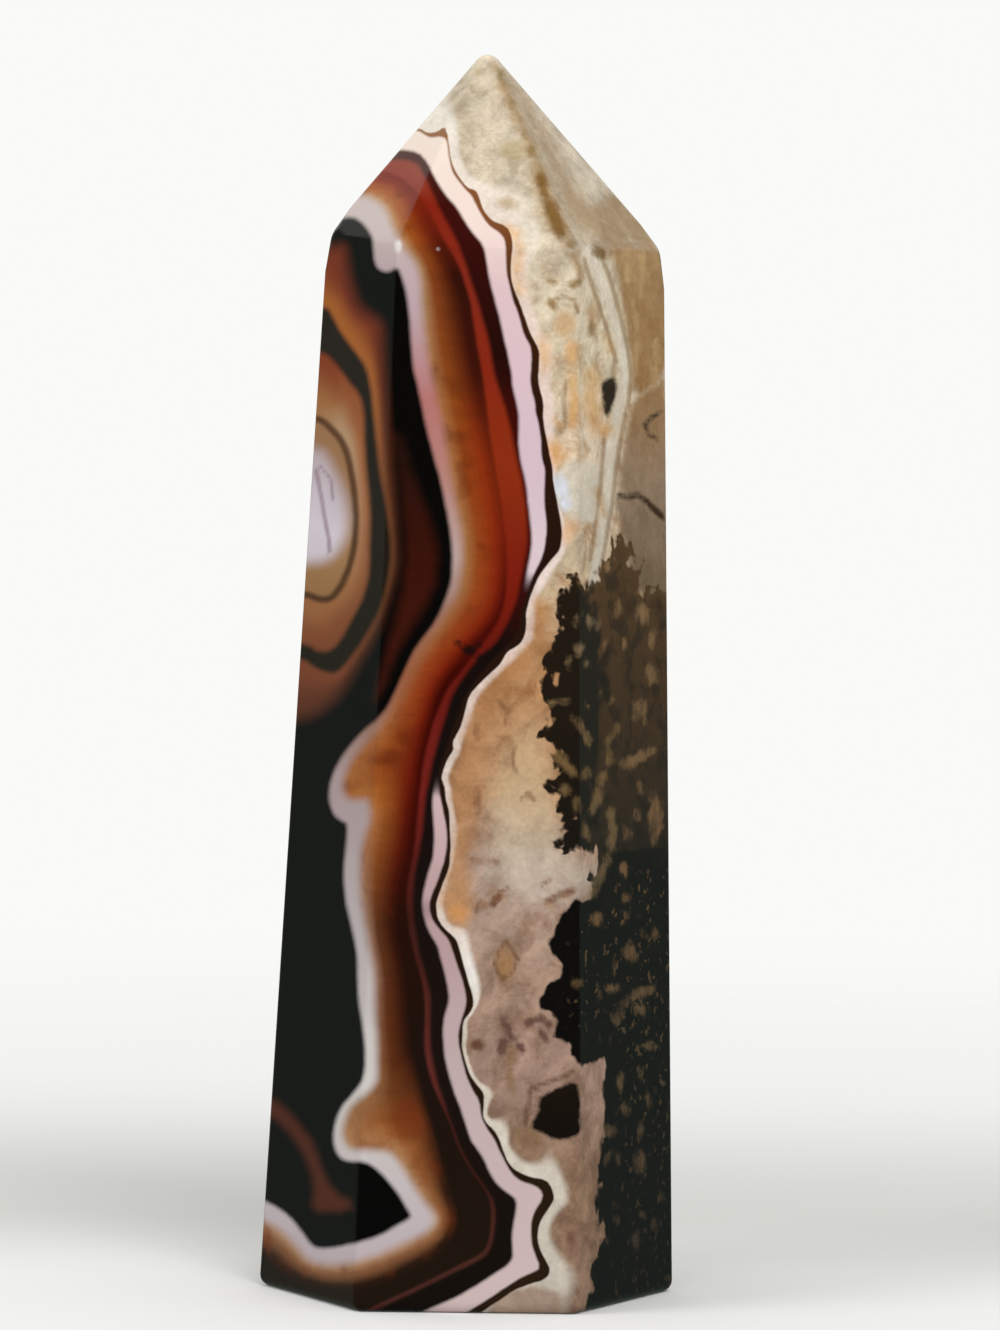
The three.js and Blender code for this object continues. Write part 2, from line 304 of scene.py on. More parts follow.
LINES = {
    "outline": [
        (4, [(604, 262), (612, 285), (620, 315), (627, 345), (631, 372), (629, 400), (622, 430), (616, 470),
             (612, 505), (606, 540), (600, 575)]),
        (4, [(584, 258), (592, 285), (604, 320), (613, 350), (616, 362)]),
        (4, [(604, 440), (601, 480), (597, 515), (590, 560)]),
        (5, [(573, 1072), (560, 1078), (540, 1085), (530, 1090), (528, 1110), (525, 1125)]),
        (4, [(505, 940), (512, 950), (518, 960), (513, 972), (503, 981), (497, 971), (494, 962), (500, 950),
             (505, 940)]),
        (4, [(552, 302), (562, 296), (574, 300), (578, 312)]), (4, [(567, 380), (563, 400), (566, 424), (560, 432)]),
        (4, [(572, 690), (562, 705), (566, 716)]), (4, [(516, 745), (512, 760), (516, 772)]),
        (4, [(498, 700), (508, 712), (504, 726)]), (4, [(520, 800), (528, 792), (534, 800)]),
        (4, [(493, 905), (499, 892), (508, 888)]), (4, [(476, 912), (480, 900)]),
    ],
    "apricot": [(9, [(507, 228), (516, 235), (519, 246), (517, 262), (517, 277), (520, 292)])],
    "pale": [
        (11, [(590, 250), (600, 275), (608, 300), (618, 330), (624, 355), (625, 375), (622, 395), (617, 415),
              (612, 435), (610, 460), (608, 500), (604, 530), (598, 560), (592, 588)]),
    ],
    "tan": [
        (7, [(605, 335), (609, 342), (612, 350)]), (9, [(572, 378), (575, 400), (572, 425)]),
        (4, [(555, 418), (563, 428)]),
        (6, [(511, 1050), (510, 1070), (511, 1090)]), (4, [(597, 490), (601, 503), (604, 515)]),
    ],
    "smudge": [
        (22, [(541, 172), (548, 200), (560, 228)]), (14, [(503, 84), (520, 118), (534, 150)]),
        (10, [(600, 232), (606, 248)]),
    ],
    "umber": [
        (4, [(574, 257), (579, 268), (580, 278)]), (9, [(618, 500), (630, 530), (632, 556)]),
        (3, [(538, 1100), (537, 1115)]), (4, [(520, 1047), (522, 1050)]),
    ],
    "pit": [
        (4, [(645, 425), (650, 418), (662, 412)]), (4, [(645, 425), (648, 435), (656, 438)]),
        (5, [(620, 495), (628, 497), (638, 495), (645, 500), (655, 510), (666, 521)]),
    ],
    "lobe": [
        (6, [(617, 728), (606, 745), (607, 762)]), (8, [(603, 775), (597, 797), (592, 812)]),
        (8, [(610, 812), (612, 828), (610, 850), (602, 872), (590, 895)]),
        (6, [(573, 718), (581, 728), (587, 742)]), (7, [(551, 702), (569, 699)]), (10, [(556, 755), (573, 771)]),
        (9, [(642, 256), (644, 275), (641, 293)]), (7, [(625, 252), (628, 280)]), (8, [(655, 340), (654, 388)]),
        (6, [(633, 300), (638, 340), (634, 372)]),
    ],
    "spark": [
        (9, [(617, 1022), (622, 1005), (635, 995), (650, 990)]), (12, [(626, 764), (650, 752)]),
    ],
    "mark": [
        (6, [(573, 286), (579, 282)]), (5, [(548, 280), (554, 283)]), (6, [(550, 302), (554, 308)]),
        (8, [(503, 1020), (509, 1029), (511, 1037)]), (8, [(505, 1041), (501, 1051)]),
        (7, [(527, 1023), (539, 1018), (549, 1025)]), (6, [(541, 1032), (546, 1040)]), (5, [(542, 885), (549, 880)]),
        (5, [(562, 894), (571, 891)]), (5, [(547, 901), (556, 896)]), (6, [(494, 904), (500, 897)]),
    ],
    "stain": [
        (9, [(541, 178), (545, 196)]), (12, [(550, 206), (556, 221), (561, 234)]), (8, [(596, 247), (602, 255)]),
    ],
}
SPOTS = {
    "pale": [(520, 204, 30, 14), (565, 492, 18, 36), (528, 236, 26, 34)],
    "tan": [
        (506, 204, 22, 12), (565, 325, 22, 26), (593, 318, 10, 30), (573, 352, 14, 20), (551, 280, 8, 6),
        (575, 284, 8, 6), (552, 305, 8, 10), (480, 72, 8, 6), (500, 75, 8, 6), (512, 150, 26, 20),
        (565, 895, 8, 6), (547, 882, 4, 6), (550, 905, 10, 8), (500, 897, 10, 8), (480, 905, 8, 6),
        (505, 962, 20, 36), (570, 1240, 18, 30), (565, 477, 8, 6), (477, 1045, 12, 9),
    ],
    "umber": [(650, 245, 18, 10), (655, 330, 10, 90)],
    "mark": [
        (500, 75, 7, 8), (511, 108, 7, 9), (523, 134, 7, 9), (530, 150, 6, 9), (571, 244, 10, 8), (598, 253, 12, 12),
        (593, 330, 8, 20), (477, 730, 5, 20), (477, 806, 6, 22), (478, 1045, 12, 9), (570, 1240, 10, 22),
        (520, 1046, 8, 7), (496, 862, 6, 5),
    ],
    "lobe": [
        (585, 772, 10, 15), (565, 790, 8, 11), (576, 805, 7, 14), (586, 832, 7, 15), (577, 617, 9, 13),
        (590, 622, 6, 9), (597, 627, 6, 10), (580, 650, 8, 11), (568, 662, 6, 9), (587, 663, 5, 8),
    ],
    "apricot": [
        (545, 354, 14, 30), (568, 531, 16, 26), (606, 430, 18, 16), (571, 352, 10, 16), (574, 402, 9, 40),
        (459, 913, 18, 14),
    ],
    "frost": [(561, 486, 17, 28), (565, 503, 12, 18)],
    "spark": [
        (608, 568, 8, 11), (617, 610, 7, 20),
        (641, 613, 14, 24), (604, 645, 5, 9), (624, 643, 5, 10),
        (651, 640, 10, 22), (652, 675, 12, 25), (640, 710, 14, 25), (600, 693, 5, 8),
        (613, 700, 5, 6), (588, 708, 4, 10), (640, 787, 6, 14), (638, 815, 6, 12), (627, 832, 10, 18),
        (624, 870, 8, 12),
        (627, 898, 8, 12), (627, 915, 6, 14), (597, 918, 14, 16), (630, 952, 16, 22), (615, 965, 6, 15),
        (577, 983, 12, 10), (610, 988, 20, 10), (600, 992, 6, 14), (611, 1015, 4, 8), (640, 1072, 6, 12),
        (621, 1083, 8, 14), (648, 1100, 6, 20), (627, 1110, 8, 14), (610, 1130, 16, 16), (639, 1130, 8, 16),
        (608, 1157, 6, 14), (618, 1158, 6, 14), (640, 1162, 14, 24), (660, 1195, 6, 10), (614, 1205, 4, 6),
        (643, 1215, 4, 6), (617, 1220, 9, 12), (655, 1225, 9, 14), (636, 1240, 10, 20), (607, 1240, 6, 10),
        (655, 820, 15, 60), (650, 1047, 20, 8), (640, 1010, 14, 12), (643, 935, 8, 12), (655, 935, 8, 12),
    ],
    "crack": [(469, 650, 17, 12), (482, 658, 15, 9), (458, 643, 11, 8), (479, 645, 9, 8)],
    # Painted highlights: two pale spots where the shoulder's corners catch the light
    "painted_glint": [(398, 246, 8, 14), (438, 249, 4, 3)],
    "blot": [(386, 759, 30, 15), (343, 786, 14, 8), (404, 738, 16, 12), (408, 1120, 34, 40), (455, 1222, 14, 30)],
}

# A brown glow low in the black chalcedony
GLOW = [
    (276, 1100), (290, 1112), (300, 1125), (312, 1140), (318, 1155), (322, 1168), (330, 1185), (340, 1195),
    (350, 1200), (352, 1208), (340, 1212), (318, 1212), (312, 1205), (314, 1190), (312, 1175), (306, 1160),
    (298, 1145), (288, 1132), (278, 1122), (262, 1112), (262, 1096),
]

# The edges of the bands, which are closed far to the left of the photograph
FAR_LEFT = -2000
BAND_EDGES = {
    "contact": CONTACT,
    "pink_right": PINK_RIGHT,
    "pink_left": PINK_LEFT,
    "red_right": RED_RIGHT,
    "red_left": RED_LEFT,
    "amber_right": AMBER_RIGHT,
    "halo_in": HALO_IN,
    "halo_out": HALO_OUT,
    "rim": RIM,
}
# The pigments' patches, with the painted highlights among them
PIGMENTS_AND_HIGHLIGHTS = (
    "outline", "pale", "tan", "umber", "ochre", "flesh", "apricot", "frost", "smudge", "stain", "mark", "pit",
    "lobe", "spark", "ember", "blot", "crack", "painted_glint",
)

# The stone's colours, and the painted highlights' colour. Each list goes up the stone: a height in mm, and the colour
# there.
COLOURS = {
    "black": [(0, "050505"), (100, "050403")],
    "halo": [
        (3, "b9aaaf"), (18, "cdc8c3"), (30, "b9afaf"), (42, "aa9696"), (47, "96705f"), (51, "965a41"),
        (55, "9b7364"), (60, "b9a09b"), (66, "b48278"), (72, "b4736e"), (80, "bea5aa"), (86, "cdbeb9"),
    ],
    "tan": [
        (4, "aa8464"), (14, "aa7b52"), (20, "7d5030"), (30, "96735f"), (41, "aa6932"), (50, "965a37"),
        (60, "a06e41"), (71, "a5693c"), (81, "a57d55"), (88, "be8c5a"),
    ],
    "amber": [
        (4, "84583a"), (10, "8c5832"), (14, "985c2e"), (19, "5a2c12"), (31, "5a3019"), (41, "96501e"), (50, "913f19"),
        (59, "964619"), (66, "914114"), (73, "8c4616"), (81, "823f19"), (86, "a5541c"), (92, "b46e37"),
    ],
    "rust": [
        (4, "2d1b11"), (10, "3c2011"), (14, "643217"), (20, "3c1a0c"), (31, "3c1609"), (41, "641606"), (50, "781e08"),
        (59, "82230a"), (67, "8c2d0c"), (73, "69280c"), (80, "50200b"), (86, "822d0f"), (91, "963714"),
    ],
    "umber_line": [
        (4, "1e140c"), (20, "1c0f0a"), (31, "230c05"), (41, "410702"), (49, "370400"), (57, "500a04"),
        (62, "6e1907"), (67, "6e2108"), (75, "3c1007"), (82, "320e06"), (88, "78200c"),
    ],
    "red": [
        (4, "552d26"), (12, "55231e"), (20, "5f2a24"), (31, "3c1914"), (42, "6e1e19"), (52, "64140c"),
        (59, "7d1c0c"), (68, "8c2d10"), (75, "872612"), (82, "822818"), (88, "82200f"), (93, "a0503c"),
    ],
    "dark": [
        (4, "140e0a"), (20, "190f0c"), (42, "140c0a"), (53, "140a08"), (61, "410a05"), (68, "460a05"),
        (76, "230805"), (88, "3c0c08"), (95, "5a3228"),
    ],
    "pink": [
        (3, "cdb8b6"), (20, "bea9a8"), (31, "b49696"), (42, "cdafaf"), (60, "dcc8cd"), (68, "d7bec8"),
        (81, "e1c3c6"), (87, "f0dad0"), (94, "f5e4d4"),
    ],
    "contact_line": [
        (4, "281a0e"), (20, "23140a"), (60, "24120a"), (72, "2d160a"), (81, "3c1e0c"), (87, "7d4a28"), (94, "96643c"),
    ],
    "rim": [
        (3, "c8beaf"), (14, "d7cdbe"), (22, "cdc0af"), (27, "ece6de"), (33, "dcc8b9"), (36, "dccabc"),
        (50, "e4d2c8"), (66, "e6d2c8"), (76, "f0d7c8"), (94, "f0e6d7"),
    ],
    "matrix": [
        (1, "967864"), (12, "96785f"), (18, "a58778"), (27, "aa8c78"), (35, "b49b8c"), (41, "b98e68"),
        (52, "b4865c"), (60, "cdb99b"), (68, "e1cdb4"), (76, "e6d7b9"), (84, "dccdb4"), (96, "d7c8af"),
    ],
    "mottle": [(5, "785a46"), (30, "9b7a64"), (50, "9b6437"), (70, "cdaa82"), (90, "c8b496")],
    "pale": [(58, "d7cdbe"), (66, "d7cdb9"), (70, "dcd2be"), (82, "ebdfca")],
    "outline": [(10, "463223"), (50, "7d5032"), (70, "8c6e46"), (85, "967346")],
    "smudge": [(70, "a5875f"), (88, "a07d4b")],
    "blot": [(10, "733214"), (40, "5f1e08"), (60, "5a2008")],
    # The painted highlights' colour, paler up the stone
    "painted_glint": [(20, "b4a596"), (85, "f0ebe6")],
    "vein": [(5, "64503f"), (30, "7d5f4b"), (50, "8c5530"), (80, "a0825a")],
    "fern": [(25, "14120e"), (60, "231a10")],
    "patch_tan": [
        (5, "967864"), (18, "7d5f3c"), (27, "a5784b"), (38, "96785f"), (68, "c8965a"), (80, "cda678"), (92, "b4a078"),
    ],
    "patch_umber": [(15, "4b2d20"), (45, "5a3219"), (55, "5f5037"), (66, "91785f"), (74, "9b703c"), (88, "af8c5f")],
    "ochre": [(29, "cd8c4b"), (34, "b98658"), (44, "b9865a"), (52, "af7a4c"), (66, "d79650"), (75, "dcaa78")],
    "flesh": [(30, "beaca3"), (36, "c8b9a5"), (42, "cdb28c"), (50, "c3a078")],
    "apricot": [(30, "d29150"), (60, "e6be9b"), (66, "dc9646"), (74, "e1b478"), (80, "e6b478")],
    "frost": [(60, "d2d7e6"), (70, "e1e4eb")],
    "stain": [(80, "785528"), (90, "7d5a28")],
    "mark": [(5, "6e4b37"), (22, "5a3a32"), (40, "7d5032"), (60, "8c6e50"), (90, "8c7346")],
    "lobe": [(33, "786446"), (45, "876a41"), (56, "9b8260"), (70, "b4966e"), (84, "cdaa78")],
    "pit": [(12, "0f0c08"), (66, "3c2614"), (74, "281c0f"), (90, "6e4b1e")],
    "moss": [(20, "1c1a14"), (34, "231d15"), (42, "372819"), (60, "553c21")],
    "deep": [(0, "0a0908"), (60, "100c08")],
    "spark": [(5, "463728"), (20, "645037"), (35, "785a3c"), (55, "8c6e4b")],
    "glow": [(5, "5a2d1e"), (46, "46190f"), (60, "3c1207"), (68, "28100a")],
    "eye_brown_out": [(50, "5a3020"), (66, "6e3c26"), (74, "783219"), (80, "78321e")],
    "eye_brown_in": [(50, "784128"), (60, "825032"), (66, "824b2d"), (72, "a05f32"), (80, "a55f28")],
    "eye_dark": [(50, "1e1910"), (75, "231c16")],
    "eye_tan_out": [(52, "7d462a"), (64, "9b6441"), (69, "a0643c"), (75, "823c1e")],
    "eye_tan_in": [(52, "8c5532"), (58, "a06e46"), (66, "af8260"), (69, "b4916e"), (72, "a06e41")],
    "eye_line": [(52, "372314"), (72, "4b280c")],
    "eye_ring": [(56, "966e46"), (62, "a57d55"), (68, "9b7350")],
    "eye_core": [(56, "c8bec3"), (62, "d7cdd5"), (67, "beafb4")],
    "eye_vein": [(56, "8c7382"), (68, "967d8c")],
}
TOP = 100.0  # the height in mm at which the lists end
SWAY = 0.006  # metres over which the clouds move the colours up and down

# The stone's natural patterns: how many of each lie in a metre
CLOUDS = 150.0  # soft clouds about 7 mm across, by which the colours sway up and down
MOTTLES = 320.0  # red-brown mottling in the warm bands, about 3 mm
WAVES = 900.0  # how the bands' edges wander, about 1 mm
FIBRES = 1900.0  # fine level fibres in the warm bands, about 0.5 mm thick
FIBRE_LENGTH = 4.0  # in thicknesses
CREASES = 300.0  # faint veins in the matrix, about 3 mm apart
CREASE_LEVEL = 0.52  # the veins run where the noise crosses this
STAINS = 420.0  # stains in the matrix, about 2.4 mm
STREAKS = 560.0  # slanted streaks in the matrix, about 1.8 mm thick
STREAK_LENGTH = 3.2  # in thicknesses
STREAK_SLANT = 0.7  # radians from upright
KNOBS = 620.0  # the lobes of the moss-like growth, about 1.6 mm
RAGS = 700.0  # the ragged edges of the patches, about 1.4 mm
DUST = 1500.0  # pale dust in the black chalcedony, about 0.7 mm
GRAINS = 2600.0  # the quartz grains of the matrix, about 0.4 mm: coarser than they are, so that they show
HAIRS = 3.4  # hairlines in the warm bands, of which this many lie in a millimetre

# The polish
CHALCEDONY_IOR = 1.54
BAND_ROUGHNESS = 0.07
MATRIX_ROUGHNESS = 0.14

# The studio, in metres
WINDOW_WAY = (0.0, 0.75, 0.66)  # towards the window that the stone's gloss shows, above and behind
WINDOW_EDGE = (0.76, 0.92)  # cosines of the angles from there between which it brightens
FLOOR_RADIUS = 0.4
PAINTED_SHADE_START = 0.0  # the painted shade on the floor begins here, by how far it lies behind the stone's middle
PAINTED_SHADE_PEAK = 0.045
PAINTED_SHADE_END = 0.15
FADE_START = 0.07  # the floor fades out from here, by how far it lies from the stone's middle
FADE_END = 0.3
LIGHT_SIZE = 0.5

# The soft lights: the name, the place in metres and the share of the key light's power
SOFT_LIGHTS = (
    ("key_light", (0.25, -0.7, 0.75), 1.0),
    ("fill_light", (-0.75, -0.35, 0.6), 0.7),
)

# The colours of the surroundings
BACKDROP = "fafaf8"
WALLS = ("35312f", "595d59")  # the dim walls in the gloss, towards the camera and behind the stone
WALL_TINTS = ("edf3ed", "edfff7")  # what tints them on the left and on the right
WINDOW = "fffdf9"


def linear(hex_code):
    """An sRGB hex colour as linear red, green, blue and alpha."""
    channels = [int(hex_code[i : i + 2], 16) / 255 for i in (0, 2, 4)]
    return [c / 12.92 if c <= 0.04045 else ((c + 0.055) / 1.055) ** 2.4 for c in channels] + [1.0]


def add_node(tree, kind, settings=None, **links):
    """Adds a node. A link's value is a socket to join, or else the input's own value."""
    node = tree.nodes.new(kind)
    for name, value in (settings or {}).items():
        setattr(node, name, value)
    for name, value in links.items():
        key = int(name[1:]) if name[0] == "i" and name[1:].isdigit() else name.replace("_", " ")
        if isinstance(value, bpy.types.NodeSocket):
            tree.links.new(value, node.inputs[key])
        else:
            node.inputs[key].default_value = value
    return node


class StoneSizes(PropertyGroup):
    edge_radius: FloatProperty(
        name="Edge radius", description="Rounding of the crisp cut edges", default=0.0005, unit="LENGTH"
    )
    foot_radius: FloatProperty(
        name="Foot radius", description="Rounding round the foot", default=0.0009, unit="LENGTH"
    )
    tip_radius: FloatProperty(
        name="Tip radius", description="Rounding of the blunted tip", default=0.001, unit="LENGTH"
    )
    worn_radius: FloatProperty(
        name="Worn radius",
        description="Rounding of the two outer shoulder corners",
        default=0.0022,
        unit="LENGTH",
    )
    worn_reach: FloatProperty(
        name="Worn reach",
        description="How far from such a corner the wear runs along the edges",
        default=0.003,
        unit="LENGTH",
    )
    spacing: FloatProperty(
        name="Spacing",
        description="Distance between the points that carry the markings in front",
        default=0.00034,
        unit="LENGTH",
    )
    back_spacing: FloatProperty(
        name="Back spacing",
        description="Distance between the points that carry the markings across the back",
        default=0.0007,
        unit="LENGTH",
    )


def camera_axes():
    """The camera's place and its right, up and forward directions, with the roll in them."""
    eye = np.array(EYE)
    forward = np.array(AIM) - eye
    forward /= np.linalg.norm(forward)
    level = np.cross(forward, (0, 0, 1))
    level /= np.linalg.norm(level)
    upright = np.cross(level, forward)
    roll = math.radians(ROLL)
    right = math.cos(roll) * level + math.sin(roll) * upright
    up = math.cos(roll) * upright - math.sin(roll) * level
    return eye, right, up, forward


# The stone's shape


def facet_planes(node):
    """The outward normals and the distances in mm of the CAD solid's flat facets, largest first."""
    mesh = node.data
    flats = []
    for polygon in mesh.polygons:
        match = next((f for f in flats if f["normal"].dot(polygon.normal) > math.cos(math.radians(SAME_FACET))), None)
        if match is None:
            match = {"normal": polygon.normal.copy(), "area": 0.0, "sum": Vector()}
            flats.append(match)
        match["area"] += polygon.area
        match["sum"] += polygon.normal * polygon.area
    flats.sort(key=lambda f: -f["area"])
    normals = np.array([f["sum"].normalized() for f in flats[:FACETS]])
    points = np.array([v.co for v in mesh.vertices]) / MM
    return normals, (points @ normals.T).max(axis=0)


def ball_seats(normals, distances, radius):
    """Where a ball of this radius can sit so that it touches three facets or more from inside."""
    seats = []
    for trio in combinations(range(len(normals)), 3):
        rows = list(trio)
        if abs(np.linalg.det(normals[rows])) < SLIVER:
            continue
        seat = np.linalg.solve(normals[rows], distances[rows] - radius)
        inside_all = np.all(normals @ seat <= distances - radius + SLIVER)
        if inside_all and all(np.linalg.norm(seat - known) > SLIVER for known in seats):
            seats.append(seat)
    return seats


def softening_balls(normals, distances, sizes):
    """The centres and radii, in mm, of the balls that soften the stone's corners."""
    edge = sizes.edge_radius / MM
    foot = sizes.foot_radius / MM
    tip = sizes.tip_radius / MM
    worn = sizes.worn_radius / MM
    reach = sizes.worn_reach / MM
    sharp = np.array(ball_seats(normals, distances, 0))
    top = sharp[sharp[:, 2].argmax()]
    low, high = (top[2] * share for share in SHOULDER_SHARES)
    shoulder = sharp[(sharp[:, 2] > low) & (sharp[:, 2] < high)]
    worn_corners = [shoulder[shoulder[:, 0].argmin()], shoulder[shoulder[:, 0].argmax()]]

    def zone(point):
        if min(np.linalg.norm(point - corner) for corner in worn_corners) < 2 * worn:
            return worn
        if np.linalg.norm(point - top) < TIP_REACH * tip:
            return tip
        return foot if point[2] < 2 * foot else edge

    balls = []
    for radius in (worn, tip, foot, edge):
        balls += [(seat, radius) for seat in ball_seats(normals, distances, radius) if zone(seat) == radius]
    for corner in worn_corners:
        touching = [i for i in range(FACETS) if abs(normals[i] @ corner - distances[i]) < TOUCH]
        for a, b in combinations(touching, 2):
            along = np.cross(normals[a], normals[b])
            along /= np.linalg.norm(along)
            depth = edge / (1 + normals[a] @ normals[b])
            for way in (reach, -reach):
                seat = corner + along * way - (normals[a] + normals[b]) * depth
                if np.all(normals @ seat <= distances - edge + SLIVER):
                    balls.append((seat, edge))
    return balls


def slice_up(bm, faces, across, step):
    """Cuts faces by planes that lie a step apart, from their low end to their high end across."""
    reach = [v.co.dot(across) for f in faces for v in f.verts]
    for place in np.arange(min(reach) + step, max(reach), step):
        edges = {e for f in faces for e in f.edges}
        verts = {v for e in edges for v in e.verts}
        done = bmesh.ops.bisect_plane(
            bm,
            geom=faces + list(edges) + list(verts),
            dist=SLIVER,
            plane_co=across * place,
            plane_no=across,
        )
        cut = [g for g in done["geom"] if isinstance(g, bmesh.types.BMFace)]
        faces = [f for f in cut if f.calc_center_median().dot(across) > place]


def stone_mesh(sizes):
    """The stone: the tightest skin round the balls, cut into a fine even net for the markings."""
    normals, distances = facet_planes(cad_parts[NODE])
    bm = bmesh.new()
    for centre, radius in softening_balls(normals, distances, sizes):
        place = Matrix.Translation(centre)
        bmesh.ops.create_icosphere(bm, subdivisions=BALL_DETAIL, radius=radius, matrix=place)
        for normal in normals:
            bmesh.ops.create_vert(bm, co=centre + normal * radius)
    bmesh.ops.delete(bm, geom=bm.edges[:] + bm.faces[:], context="EDGES_FACES")
    bmesh.ops.remove_doubles(bm, verts=bm.verts[:], dist=SLIVER)
    hull = bmesh.ops.convex_hull(bm, input=bm.verts[:], use_existing_faces=False)
    spare = {v for v in hull["geom_interior"] + hull["geom_unused"] if isinstance(v, bmesh.types.BMVert)}
    bmesh.ops.delete(bm, geom=list(spare), context="VERTS")
    bmesh.ops.dissolve_limit(
        bm, angle_limit=math.radians(JOIN_ANGLE), use_dissolve_boundaries=False, verts=bm.verts[:], edges=bm.edges[:]
    )
    step = sizes.spacing / MM
    for normal in normals:
        if abs(normal[2]) > SIDE_LEAN:
            continue
        across = Vector((-normal[1], normal[0], 0)).normalized()
        bm.normal_update()
        facing = [f for f in bm.faces if f.normal.dot(Vector(normal)) > SIDE_MATCH]
        slice_up(bm, facing, across, step if normal[1] < FRONT_SIDE else sizes.back_spacing / MM)
    slice_up(bm, bm.faces[:], Vector((0, 0, 1)), step)
    for across in (Vector((1, 0, 0)), Vector((0, 1, 0))):
        bm.normal_update()
        slice_up(bm, [f for f in bm.faces if f.normal.z < -0.9], across, FOOT_SPACING * step)
    bmesh.ops.triangulate(bm, faces=[f for f in bm.faces if len(f.verts) > 4])
    for face in bm.faces:
        face.smooth = True
    bmesh.ops.scale(bm, vec=(MM, MM, MM), verts=bm.verts[:])
    mesh = bpy.data.meshes.new("agate_stone")
    bm.to_mesh(mesh)
    bm.free()
    return mesh


# The stone's markings, as distances from the traced lines that are kept on the mesh


def share_behind(points):
    """How far round the back points of the stone lie: 0 in front of its side edges, up to 1."""
    behind = np.clip(points[:, 1] / BACK_BLEND, 0, 1)
    return behind * behind * (3 - 2 * behind)


def photo_points(points):
    """Where points of the stone, in mm, lie in the photograph; the back's follow the front's, moved by slow waves."""
    x, y, z = points.T
    behind = share_behind(points)

    def wave(size, up, across, start):
        return size * np.sin(z / up + x / across + start)

    moved_x = x + behind * (wave(*ACROSS_WIDE) + wave(*ACROSS_NARROW))
    moved_z = z + behind * wave(*UPWARDS)
    eye, right, up, forward = camera_axes()
    offset = np.column_stack([moved_x, -np.abs(y), moved_z]) - eye
    depth = offset @ forward
    across = PHOTO_SIZE[0] / 2 + FOCAL_PIXELS * (offset @ right) / depth
    down = PHOTO_SIZE[1] / 2 - FOCAL_PIXELS * (offset @ up) / depth
    return np.column_stack([across, down])


def line_distance(points, line):
    """The distance from each point to a line of straight pieces."""
    nearest = np.full(len(points), np.inf)
    for start, end in zip(line, line[1:]):
        along = np.subtract(end, start)
        offset = points - start
        part = np.clip(offset @ along / (along @ along), 0, 1)
        nearest = np.minimum(nearest, ((offset - part[:, None] * along) ** 2).sum(axis=1))
    return np.sqrt(nearest)


def rounded(line, passes=1):
    """A line of straight pieces with its corners cut, which rounds it."""
    for _ in range(passes):
        pairs = [(np.array(a), np.array(b)) for a, b in zip(line, line[1:])]
        cut = [tuple(point) for a, b in pairs for point in (a * 0.75 + b * 0.25, a * 0.25 + b * 0.75)]
        line = [line[0], *cut, line[-1]]
    return line


def inside(points, outline):
    """Whether each point lies inside a closed outline."""
    across, down = points.T
    odd = np.zeros(len(points), bool)
    for (x0, y0), (x1, y1) in zip(outline, outline[1:] + outline[:1]):
        if y0 != y1:
            odd ^= ((y0 > down) != (y1 > down)) & (across < x0 + (down - y0) * (x1 - x0) / (y1 - y0))
    return odd


def depth_in_area(points, outline, closed=True):
    """How deep each point lies inside an outline, in mm, and below 0 outside."""
    distance = line_distance(points, outline + outline[:1] if closed else outline) / PIXELS_PER_MM
    return np.where(inside(points, outline), distance, -distance)


def depth_in_line(points, width, line):
    """How deep each point lies inside a stroke, in mm, and below 0 outside."""
    return (width / 2 - line_distance(points, line)) / PIXELS_PER_MM


def depth_in_spot(points, spot):
    """How deep each point lies inside an oval spot, in mm, and below 0 outside."""
    x, y, width, height = spot
    reach = np.hypot((points[:, 0] - x) / (width / 2), (points[:, 1] - y) / (height / 2))
    return (1 - reach) * min(width, height) / 2 / PIXELS_PER_MM


def marking_depths(points, lost):
    """Every marking's depth in mm at each of the stone's points. The patches are shallower by the lost depth."""
    depths = {}
    for name, traced in BAND_EDGES.items():
        edge = rounded(traced)
        left = [(FAR_LEFT, edge[0][1]), *edge, (FAR_LEFT, edge[-1][1])]
        distance = line_distance(points, edge) / PIXELS_PER_MM
        depths[name] = np.where(inside(points, left), -distance, distance)
    for name, ring in EYE_RINGS.items():
        depths[name] = depth_in_area(points, rounded(ring, 2), closed=False)
    depths["eye_vein"] = np.max([depth_in_line(points, *vein) for vein in EYE_VEINS], axis=0) - lost
    depths["moss"] = depth_in_area(points, MOSS)
    depths["deep"] = depth_in_area(points, DEEP)
    depths["tooth"] = depth_in_area(points, TOOTH) - lost
    depths["glow"] = depth_in_area(points, GLOW) - lost
    for pigment_or_highlight in PIGMENTS_AND_HIGHLIGHTS:
        shapes = [depth_in_area(points, rounded(outline)) for outline in AREAS.get(pigment_or_highlight, ())]
        shapes += [depth_in_line(points, *line) for line in LINES.get(pigment_or_highlight, ())]
        shapes += [depth_in_spot(points, spot) for spot in SPOTS.get(pigment_or_highlight, ())]
        depths[pigment_or_highlight] = np.max(shapes, axis=0) - lost
    return depths


def keep_markings(mesh):
    """Keeps each marking's depth as a number on every point of the mesh."""
    points = np.empty(len(mesh.vertices) * 3)
    mesh.vertices.foreach_get("co", points)
    points = points.reshape(-1, 3) / MM
    lost = share_behind(points) * BACK_FADE
    for name, depth in marking_depths(photo_points(points), lost).items():
        layer = mesh.attributes.new(name, "FLOAT", "POINT")
        layer.data.foreach_set("value", depth.astype(np.float32))


